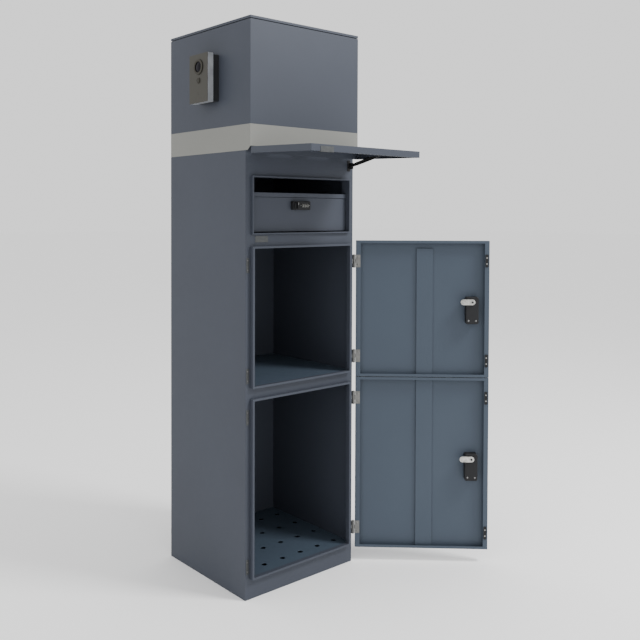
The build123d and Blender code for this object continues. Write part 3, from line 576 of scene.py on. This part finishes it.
outer_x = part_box("door_hinge_fixed_leaves")[1][0]
work = bmesh.new()
for level in hinge_levels:
    for step in RIVET_STEPS:
        turned(work, RIVET, facing((outer_x, FIXED_LEAF_Y, level + step), RIGHTWARD))
fit_piece("fixed_leaf_rivets", work, zinc, "cabinet")
print("hinge levels", [round(level, 3) for level in hinge_levels])

# %% [markdown]
# The strikes are thin steel plates that the magnets of the doors close against. They are held by
# flush screws, because anything proud would keep the door open. Each screw is a shallow dish with
# a cross recess, drawn as a black cross of painted shade on the head. On the catches, the two
# magnet faces show as pale dots in the black plastic.

# %% Strike screws and magnet faces
SCREW = [(0.0, 0.10), (1.5, 0.12), (1.95, 0.10), (2.05, 0.0), (2.05, -0.2), (0.0, -0.2)]
MAGNET = [(0.0, 0.10), (1.9, 0.10), (2.2, 0.04), (2.2, -0.3), (0.0, -0.3)]
STRIKE_FACE = (-193.0 * MM, -180.8 * MM)  # x of its middle and y of its front
SCREW_STEPS = (-13.0 * MM, 13.0 * MM)
CATCH_FACE = (-191.5 * MM, -181.1 * MM)  # x of its middle and y of its back, with the door shut
MAGNET_STEPS = (-9.0 * MM, 9.0 * MM)
CROSS_REACH, CROSS_WIDTH, CROSS_THICKNESS = 1.05 * MM, 0.34 * MM, 0.04 * MM


def cross_recess(work, matrix, lift=0.13):
    """A black cross of painted shade for a screw's recess: two narrow bars, their top lift
    millimetres up.
    """
    for angle in (0.0, math.pi / 2):
        part = bmesh.new()
        bmesh.ops.create_cube(part, size=1.0)
        size = (2 * CROSS_REACH, CROSS_WIDTH, CROSS_THICKNESS)
        bmesh.ops.scale(part, vec=size, verts=part.verts)
        bmesh.ops.bevel(
            part, geom=part.edges, offset=CROSS_THICKNESS / 4, affect="EDGES", segments=1,
            profile=0.5, material=-1,
        )
        centre = Matrix.Translation((0, 0, lift * MM - CROSS_THICKNESS / 2))
        join_into(work, part, matrix @ centre @ Matrix.Rotation(angle, 4, "Z"))


catch_levels = []
heads, crosses = bmesh.new(), bmesh.new()
for side in ("lower", "upper"):
    levels = inset_levels(f"{side}_door_catches")
    catch_levels.extend(levels)
    door = swing_open(f"{side}_door_hinge")
    dots = bmesh.new()
    for level in levels:
        for step in MAGNET_STEPS:
            turned(dots, MAGNET, door @ facing((*CATCH_FACE, level + step), BACKWARD))
        for step in SCREW_STEPS:
            spot = facing((*STRIKE_FACE, level + step), FORWARD)
            turned(heads, SCREW, spot)
            # The black cross on each head is painted shade for its recess.
            cross_recess(crosses, spot)
    fit_piece(f"{side}_magnet_faces", dots, magnet_grey, f"{side}_door")
fit_piece("strike_screws", heads, zinc, "cabinet")
fit_piece("strike_screw_cross_shade", crosses, black_print_and_shade, "cabinet", smooth=False)
print("catch levels", [round(level, 3) for level in catch_levels])

# %% [markdown]
# The stay's rail is riveted to the inside of the flap, and the arm carries a rubber sleeve for
# the hand. The sleeve is the hull of four rings, two at each end of its run, which gives the
# same round-ended slot shape as the arm with a little more all round.

# %% Stay sleeve and rail rivets
RAIL_FACE = (172.0 * MM, -197.6 * MM)  # x of its middle and y of its back, with the flap shut
RAIL_RIVETS = (1055.0 * MM, 1109.0 * MM, 1163.5 * MM)
FLAT_ANGLE, RIM_ANGLE = math.radians(2), math.radians(50)


def middle_of(name):
    """The middle of a node's box."""
    low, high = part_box(name)
    return (Vector(low) + Vector(high)) / 2


def hull_slot(start, end, width, thickness, soften):
    """A closed round-ended slot whose rounds are centred at start and end along local X."""
    part = bmesh.new()
    for centre in (start, end):
        for height in (-thickness / 2, thickness / 2):
            bmesh.ops.create_circle(
                part, segments=24, radius=width / 2, matrix=Matrix.Translation((centre, 0, height))
            )
    bmesh.ops.convex_hull(part, input=part.verts)
    bmesh.ops.dissolve_limit(
        part, angle_limit=FLAT_ANGLE, verts=part.verts, edges=part.edges
    )
    bmesh.ops.recalc_face_normals(part, faces=part.faces)
    sharp = [edge for edge in part.edges if edge.calc_face_angle(0.0) > RIM_ANGLE]
    bmesh.ops.bevel(
        part, geom=sharp, offset=soften, affect="EDGES", segments=3, profile=0.5, material=-1
    )
    return part


# The arm lies in a plane of constant X and points from its pivot to the slider.
pivot = Vector(joints["stay_arm_pivot"]["pos_m"])
grip = middle_of("stay_slider")
reach = Vector((0.0, grip.y - pivot.y, grip.z - pivot.z))
along = reach.normalized()
upward = Vector((1.0, 0.0, 0.0)).cross(along)
arm_frame = Matrix((
    (0.0, 0.0, 1.0, middle_of("stay_arm").x),
    (along.y, upward.y, 0.0, pivot.y),
    (along.z, upward.z, 0.0, pivot.z),
    (0.0, 0.0, 0.0, 1.0),
))
work = bmesh.new()
sleeve = hull_slot(24 * MM, 92 * MM, width=10.2 * MM, thickness=4.1 * MM, soften=0.8 * MM)
join_into(work, sleeve, arm_frame)
fit_piece("stay_sleeve", work, grip_rubber, "stay_arm")

flap = swing_open("flap_hinge")
work = bmesh.new()
for level in RAIL_RIVETS:
    turned(work, RIVET, flap @ facing((*RAIL_FACE, level), BACKWARD))
fit_piece("stay_rail_rivets", work, zinc, "flap")
print("arm reach", round(reach.length, 4))

# %% [markdown]
# Figures are needed on the number wheels and on the lock dials. A text curve becomes a mesh at
# once, and the mesh is then laid on its face. A wheel has ten flats, one for each figure, so the
# figures stay flat and are only turned round the wheel's axis, a tenth of a turn at a time.

# %% Figures
FIGURES = 10
WHEEL_FIGURE = 3.6
# A matrix that stands a flat figure up to face the front of the box.
FRONT = Matrix(((1, 0, 0, 0), (0, 0, -1, 0), (0, 1, 0, 0), (0, 0, 0, 1)))


def tenths(count, axis):
    """The turn of a dial or wheel by a number of figures."""
    return Matrix.Rotation(-math.radians(360.0 / FIGURES * count), 4, axis)


def figure(words, size):
    """A closed mesh of a short text, flat in local XY and centred, with size in millimetres."""
    curve = bpy.data.curves.new("figure", "FONT")
    curve.body = words
    curve.size = size * MM
    curve.align_x = "CENTER"
    curve.align_y = "CENTER"
    curve.extrude = 0.03 * MM
    curve.resolution_u = 2
    holder = bpy.data.objects.new("figure", curve)
    mesh = bpy.data.meshes.new_from_object(holder)
    bpy.data.objects.remove(holder)
    bpy.data.curves.remove(curve)
    part = bmesh.new()
    part.from_mesh(mesh)
    bpy.data.meshes.remove(mesh)
    bmesh.ops.remove_doubles(part, verts=part.verts, dist=SAME_POINT / 2)
    spans = [[v.co[i] for v in part.verts] for i in (0, 1)]
    centre = Vector([(min(span) + max(span)) / 2 for span in spans] + [0.0])
    bmesh.ops.translate(part, vec=-centre, verts=part.verts)
    return part


for wheel in (1, 2, 3):
    low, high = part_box(f"number_wheel_{wheel}")
    flat = (high[1] - low[1]) / 2
    middle = Matrix.Translation(middle_of(f"number_wheel_{wheel}"))
    out = Matrix.Translation((0.0, -flat, 0.0)) @ FRONT
    work = bmesh.new()
    for number in range(FIGURES):
        place = middle @ tenths(number, "X") @ out
        join_into(work, figure(str(number), WHEEL_FIGURE), place)
    fit_piece(f"wheel_figures_{wheel}", work, black_print_and_shade, f"number_wheel_{wheel}", False)
print("wheel flats at", round(flat, 4))

# %% [markdown]
# Every locker door has a dial for its code and a knob that turns the cam. Figures and strokes
# run round the dial, a pointer on the plate above it shows the figure in use, and a line on the
# knob shows which way it is turned.

# %% Dial figures and pointers
SPINDLE_X = -148.0 * MM
LOCK_LEVEL = {"lower": 316.0 * MM, "upper": 788.5 * MM}
DIAL_DROP, POINTER_DROP = 36.0 * MM, 21.0 * MM  # below the knob's axis
DIAL_FRONT, PLATE_FRONT, KNOB_FRONT = -214.3 * MM, -210.0 * MM, -222.3 * MM
# In millimetres: the height of a figure, the distances from the middle, and each stroke's
# length and width.
DIAL_FIGURE = 2.6
FIGURE_RING, STROKE_RING, KNOB_LINE_AT = 7.2, 9.9, 5.4
LONG_STROKE, SHORT_STROKE, POINTER, KNOB_LINE = (1.4, 0.3), (0.8, 0.3), (3.2, 0.9), (6.4, 0.9)


def stroke(work, matrix, length, width):
    """A painted stroke with slightly rounded corners, along local Y, in millimetres."""
    part = bmesh.new()
    bmesh.ops.create_grid(part, x_segments=1, y_segments=1, size=0.5)
    bmesh.ops.scale(part, vec=(width * MM, length * MM, 1.0), verts=part.verts)
    bmesh.ops.bevel(
        part, geom=part.verts, offset=0.3 * width * MM, affect="VERTICES", segments=2,
        profile=0.5, material=-1,
    )
    raised = bmesh.ops.extrude_face_region(part, geom=part.faces[:])
    lifted = [item for item in raised["geom"] if isinstance(item, bmesh.types.BMVert)]
    bmesh.ops.translate(part, vec=(0, 0, 0.06 * MM), verts=lifted)
    bmesh.ops.recalc_face_normals(part, faces=part.faces)
    join_into(work, part, matrix)


def upright(*place):
    """A matrix for a flat mark that faces the front at place."""
    return Matrix.Translation(place) @ FRONT


def outward(distance):
    """A move of some millimetres along local Y, away from the middle of a dial or knob."""
    return Matrix.Translation((0, distance * MM, 0))


for side, lock_z in LOCK_LEVEL.items():
    door = swing_open(f"{side}_door_hinge")
    dial = bmesh.new()
    centre = door @ upright(SPINDLE_X, DIAL_FRONT, lock_z - DIAL_DROP)
    for number in range(FIGURES):
        turn, half_turn = tenths(number, "Z"), tenths(number + 0.5, "Z")
        join_into(dial, figure(str(number), DIAL_FIGURE), centre @ turn @ outward(FIGURE_RING))
        stroke(dial, centre @ turn @ outward(STROKE_RING), *LONG_STROKE)
        stroke(dial, centre @ half_turn @ outward(STROKE_RING), *SHORT_STROKE)
    fit_piece(f"{side}_dial_figures", dial, black_print_and_shade, f"{side}_dial", False)

    pointer = bmesh.new()
    stroke(pointer, door @ upright(SPINDLE_X, PLATE_FRONT, lock_z - POINTER_DROP), *POINTER)
    fit_piece(f"{side}_dial_pointer", pointer, mark_white, f"{side}_door", False)

    line = bmesh.new()
    knob = door @ upright(SPINDLE_X, KNOB_FRONT, lock_z)
    stroke(line, knob @ outward(KNOB_LINE_AT), *KNOB_LINE)
    fit_piece(f"{side}_knob_line", line, mark_white, f"{side}_lock_turn", False)
print("lock levels", LOCK_LEVEL)

# %% [markdown]
# The letter door's lock is smaller. It has a line on its knob too, and a short stroke on each side
# of the wheels shows the row in which the code is read.

# %% Letter lock marks
LETTER_KNOB = (-22.5 * MM, 1080.0 * MM)  # x and z of its axis
CODE_LEVEL = 1075.0 * MM
CODE_ENDS = (-5.6 * MM, 24.6 * MM)
LETTER_KNOB_LINE, CODE_STROKE = (6.0, 0.8), (2.2, 0.6)
knob_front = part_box("letter_lock_knob")[0][1]
housing_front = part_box("letter_lock_housing")[0][1]
line = bmesh.new()
stroke(line, upright(LETTER_KNOB[0], knob_front, LETTER_KNOB[1]), *LETTER_KNOB_LINE)
fit_piece("letter_knob_line", line, mark_white, "letter_lock_turn", False)

pointers = bmesh.new()
level_turn = Matrix.Rotation(math.radians(90), 4, "Z")
for x in CODE_ENDS:
    stroke(pointers, upright(x, housing_front, CODE_LEVEL) @ level_turn, *CODE_STROKE)
fit_piece("letter_lock_pointers", pointers, mark_white, "letter_door", False)
print("letter knob front", round(knob_front, 4), "housing front", round(housing_front, 4))

# %% [markdown]
# Behind each door, the lock's case is clamped to the sheet by two screws near its foot. They are
# pan heads with a cross recess, drawn as a black cross of painted shade, clear of the bolt that
# turns above them.

# %% Lock case screws
PAN_HEAD = [(0.0, 1.25), (1.4, 1.15), (2.3, 0.75), (2.7, 0.25), (2.75, -0.3), (0.0, -0.3)]
CASE_BACK = -176.0 * MM
CASE_SCREW_RISE = 10.0 * MM
CASE_SCREW_STEPS = (-11.0 * MM, 11.0 * MM)
for side in ("lower", "upper"):
    case_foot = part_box(f"{side}_lock_case")[0][2]
    door = swing_open(f"{side}_door_hinge")
    pans, recesses = bmesh.new(), bmesh.new()
    for step in CASE_SCREW_STEPS:
        place = (SPINDLE_X + step, CASE_BACK, case_foot + CASE_SCREW_RISE)
        spot = door @ facing(place, BACKWARD)
        turned(pans, PAN_HEAD, spot)
        # The black cross on each head is painted shade for its recess.
        cross_recess(recesses, spot, lift=1.25)
    fit_piece(f"{side}_case_screws", pans, plain_steel, f"{side}_door")
    crosses_name = f"{side}_case_screw_cross_shade"
    fit_piece(crosses_name, recesses, black_print_and_shade, f"{side}_door", False)
    print(side, "case foot at", round(case_foot, 4))

# %% [markdown]
# The intercom has a call button with a ring round its rim, and a small microphone behind a few
# holes under the camera. The ring is turned, like the rivets. The holes are only shallow black
# dishes, a painted shade for their dark inside, since nothing can be seen through a hole of a
# millimetre.

# %% Intercom details
RING = [(4.6, 0.02), (4.6, 0.12), (5.4, 0.12), (5.4, 0.02), (5.4, -0.2), (4.6, -0.2), (4.6, 0.02)]
HOLE = [(0.0, 0.04), (0.7, 0.05), (0.75, -0.2), (0.0, -0.2)]
HOLES_IN_ROW = (3, 2, 3)
HOLE_PITCH, ROW_PITCH, FIRST_ROW = 3.6 * MM, 3.0 * MM, 22.0 * MM
button = middle_of("call_button")
button_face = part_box("call_button")[0][0]
ring = bmesh.new()
turned(ring, RING, facing((button_face, button.y, button.z), LEFTWARD), steps=32)
fit_piece("call_button_ring", ring, black_print_and_shade, "call_button")

# The black of these dishes is painted shade for the dark inside of each hole.
holes = bmesh.new()
for row, count in enumerate(HOLES_IN_ROW):
    level = plate_low[2] + FIRST_ROW + ROW_PITCH * row
    for column in range(count):
        y = button.y + (column - (count - 1) / 2) * HOLE_PITCH
        turned(holes, HOLE, facing((plate_low[0], y, level), LEFTWARD), steps=12)
fit_piece("microphone_holes", holes, black_print_and_shade, "cabinet")
print("button at", [round(v, 3) for v in button])

# %% [markdown]
# The small pieces must not make the model any bigger than the frame. The last cell only prints
# that the script is done.

# %% Finish
print("done")
